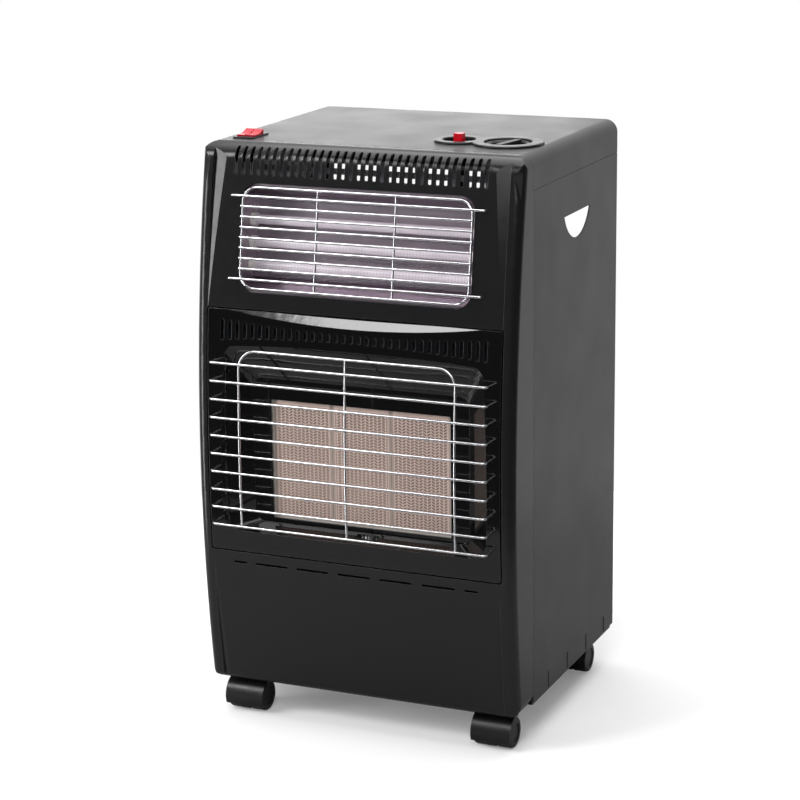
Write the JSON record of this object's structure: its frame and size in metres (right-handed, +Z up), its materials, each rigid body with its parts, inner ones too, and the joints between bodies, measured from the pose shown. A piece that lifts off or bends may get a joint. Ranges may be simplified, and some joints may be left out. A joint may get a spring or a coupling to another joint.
{
  "type": "portable gas cabinet heater",
  "caption": "Black roll-about cabinet heater with a gas plaque burner below, quartz heating tubes above, wire guards, hand holes and twin-wheel castors.",
  "frame": {"origin": "middle of the overall box, on the floor under the wheels", "axes": "+Z up, the front with the burner faces -Y, +X is the right side seen from the front"},
  "size_m": [0.4218, 0.396, 0.744],
  "materials": {
    "cabinet_paint": "semi-gloss black powder coat",
    "gloss_enamel": "high gloss black enamel",
    "guard_chrome": "bright plated wire",
    "reflector_steel": "bright rolled steel",
    "galvanised": "galvanised sheet",
    "zinc_steel": "zinc plated steel",
    "quartz": "milky quartz",
    "cap_ceramic": "white steatite",
    "plaque_ceramic": "perforated cordierite",
    "fibre_gasket": "ceramic fibre",
    "brass": "turned brass",
    "black_plastic": "moulded, fine grain",
    "black_nylon": "moulded nylon",
    "red_plastic": "moulded, glossy"
  },
  "bodies": {
    "cabinet": {"top_cover": "cabinet_paint", "side_panel_left": "cabinet_paint", "side_panel_right": "cabinet_paint", "base_tray": "cabinet_paint", "rear_rail": "cabinet_paint", "divider_shield": "galvanised", "cover_screws": "zinc_steel", "fascia": "gloss_enamel", "burner_panel": "gloss_enamel", "lower_guard": "guard_chrome", "upper_guard": "guard_chrome", "upper_reflector": "reflector_steel", "tube_brackets": "reflector_steel", "quartz_tube_upper": "quartz", "quartz_tube_middle": "quartz", "quartz_tube_lower": "quartz", "tube_end_caps": "cap_ceramic", "burner_housing": "reflector_steel", "plaque_left": "plaque_ceramic", "plaque_centre": "plaque_ceramic", "plaque_right": "plaque_ceramic", "plaque_gasket": "fibre_gasket", "gas_manifold": "brass", "feed_pipe": "zinc_steel", "pilot_pipe": "zinc_steel", "pilot_burner": "zinc_steel", "igniter_probes": "zinc_steel", "control_bezel": "black_plastic", "igniter_body": "black_plastic", "valve_bracket": "galvanised", "gas_valve": "brass", "inlet_nozzle": "brass", "switch_bezel": "black_plastic", "switch_body": "black_plastic", "cable_gland": "black_plastic", "castor_plates": "zinc_steel"},
    "valve_rotor": {"valve_rotor": "brass"},
    "gas_knob": {"gas_knob": "black_plastic", "valve_spindle": "zinc_steel"},
    "ignition_button": {"ignition_button": "red_plastic"},
    "rocker_left": {"rocker_left": "red_plastic"},
    "rocker_right": {"rocker_right": "red_plastic"},
    "rear_cover": {"rear_cover": "cabinet_paint"},
    "castor_front_left": {"castor_hood_front_left": "black_nylon", "castor_pins_front_left": "zinc_steel"},
    "wheel_front_left_a": {"castor_wheel_front_left_a": "black_nylon"},
    "wheel_front_left_b": {"castor_wheel_front_left_b": "black_nylon"},
    "castor_front_right": {"castor_hood_front_right": "black_nylon", "castor_pins_front_right": "zinc_steel"},
    "wheel_front_right_a": {"castor_wheel_front_right_a": "black_nylon"},
    "wheel_front_right_b": {"castor_wheel_front_right_b": "black_nylon"},
    "castor_rear_left": {"castor_hood_rear_left": "black_nylon", "castor_pins_rear_left": "zinc_steel"},
    "wheel_rear_left_a": {"castor_wheel_rear_left_a": "black_nylon"},
    "wheel_rear_left_b": {"castor_wheel_rear_left_b": "black_nylon"},
    "castor_rear_right": {"castor_hood_rear_right": "black_nylon", "castor_pins_rear_right": "zinc_steel"},
    "wheel_rear_right_a": {"castor_wheel_rear_right_a": "black_nylon"},
    "wheel_rear_right_b": {"castor_wheel_rear_right_b": "black_nylon"}
  },
  "joints": [
    {"name": "valve_turn", "type": "hinge", "parent": "cabinet", "child": "valve_rotor", "pos_m": [0.151, -0.038, 0.68], "axis": [0, 0, 1], "range_deg": [0, 210]},
    {"name": "knob_press", "type": "slide", "parent": "valve_rotor", "child": "gas_knob", "axis": [0, 0, -1], "range_m": [0, 0.004], "stiffness_N_per_m": 800, "springref_m": -0.002},
    {"name": "ignition_press", "type": "slide", "parent": "cabinet", "child": "ignition_button", "axis": [0, 0, -1], "range_m": [0, 0.005], "stiffness_N_per_m": 600, "springref_m": -0.002},
    {"name": "rocker_left_tip", "type": "hinge", "parent": "cabinet", "child": "rocker_left", "pos_m": [-0.1782, -0.0805, 0.731], "axis": [1, 0, 0], "range_deg": [-18, 0]},
    {"name": "rocker_right_tip", "type": "hinge", "parent": "cabinet", "child": "rocker_right", "pos_m": [-0.1658, -0.0805, 0.731], "axis": [1, 0, 0], "range_deg": [-18, 0]},
    {"name": "rear_cover_lift", "type": "slide", "parent": "cabinet", "child": "rear_cover", "axis": [0, 0, 1], "range_m": [0, 0.014]},
    {"name": "castor_front_left_swivel", "type": "hinge", "parent": "cabinet", "child": "castor_front_left", "pos_m": [-0.169, -0.115, 0.047], "axis": [0, 0, 1], "continuous": true},
    {"name": "wheel_front_left_a_roll", "type": "hinge", "parent": "castor_front_left", "child": "wheel_front_left_a", "pos_m": [-0.185, -0.128, 0.02], "axis": [1, 0, 0], "continuous": true},
    {"name": "wheel_front_left_b_roll", "type": "hinge", "parent": "castor_front_left", "child": "wheel_front_left_b", "pos_m": [-0.153, -0.128, 0.02], "axis": [1, 0, 0], "continuous": true},
    {"name": "castor_front_right_swivel", "type": "hinge", "parent": "cabinet", "child": "castor_front_right", "pos_m": [0.169, -0.115, 0.047], "axis": [0, 0, 1], "continuous": true},
    {"name": "wheel_front_right_a_roll", "type": "hinge", "parent": "castor_front_right", "child": "wheel_front_right_a", "pos_m": [0.153, -0.128, 0.02], "axis": [1, 0, 0], "continuous": true},
    {"name": "wheel_front_right_b_roll", "type": "hinge", "parent": "castor_front_right", "child": "wheel_front_right_b", "pos_m": [0.185, -0.128, 0.02], "axis": [1, 0, 0], "continuous": true},
    {"name": "castor_rear_left_swivel", "type": "hinge", "parent": "cabinet", "child": "castor_rear_left", "pos_m": [-0.169, 0.165, 0.047], "axis": [0, 0, 1], "continuous": true},
    {"name": "wheel_rear_left_a_roll", "type": "hinge", "parent": "castor_rear_left", "child": "wheel_rear_left_a", "pos_m": [-0.185, 0.152, 0.02], "axis": [1, 0, 0], "continuous": true},
    {"name": "wheel_rear_left_b_roll", "type": "hinge", "parent": "castor_rear_left", "child": "wheel_rear_left_b", "pos_m": [-0.153, 0.152, 0.02], "axis": [1, 0, 0], "continuous": true},
    {"name": "castor_rear_right_swivel", "type": "hinge", "parent": "cabinet", "child": "castor_rear_right", "pos_m": [0.169, 0.165, 0.047], "axis": [0, 0, 1], "continuous": true},
    {"name": "wheel_rear_right_a_roll", "type": "hinge", "parent": "castor_rear_right", "child": "wheel_rear_right_a", "pos_m": [0.153, 0.152, 0.02], "axis": [1, 0, 0], "continuous": true},
    {"name": "wheel_rear_right_b_roll", "type": "hinge", "parent": "castor_rear_right", "child": "wheel_rear_right_b", "pos_m": [0.185, 0.152, 0.02], "axis": [1, 0, 0], "continuous": true}
  ]
}
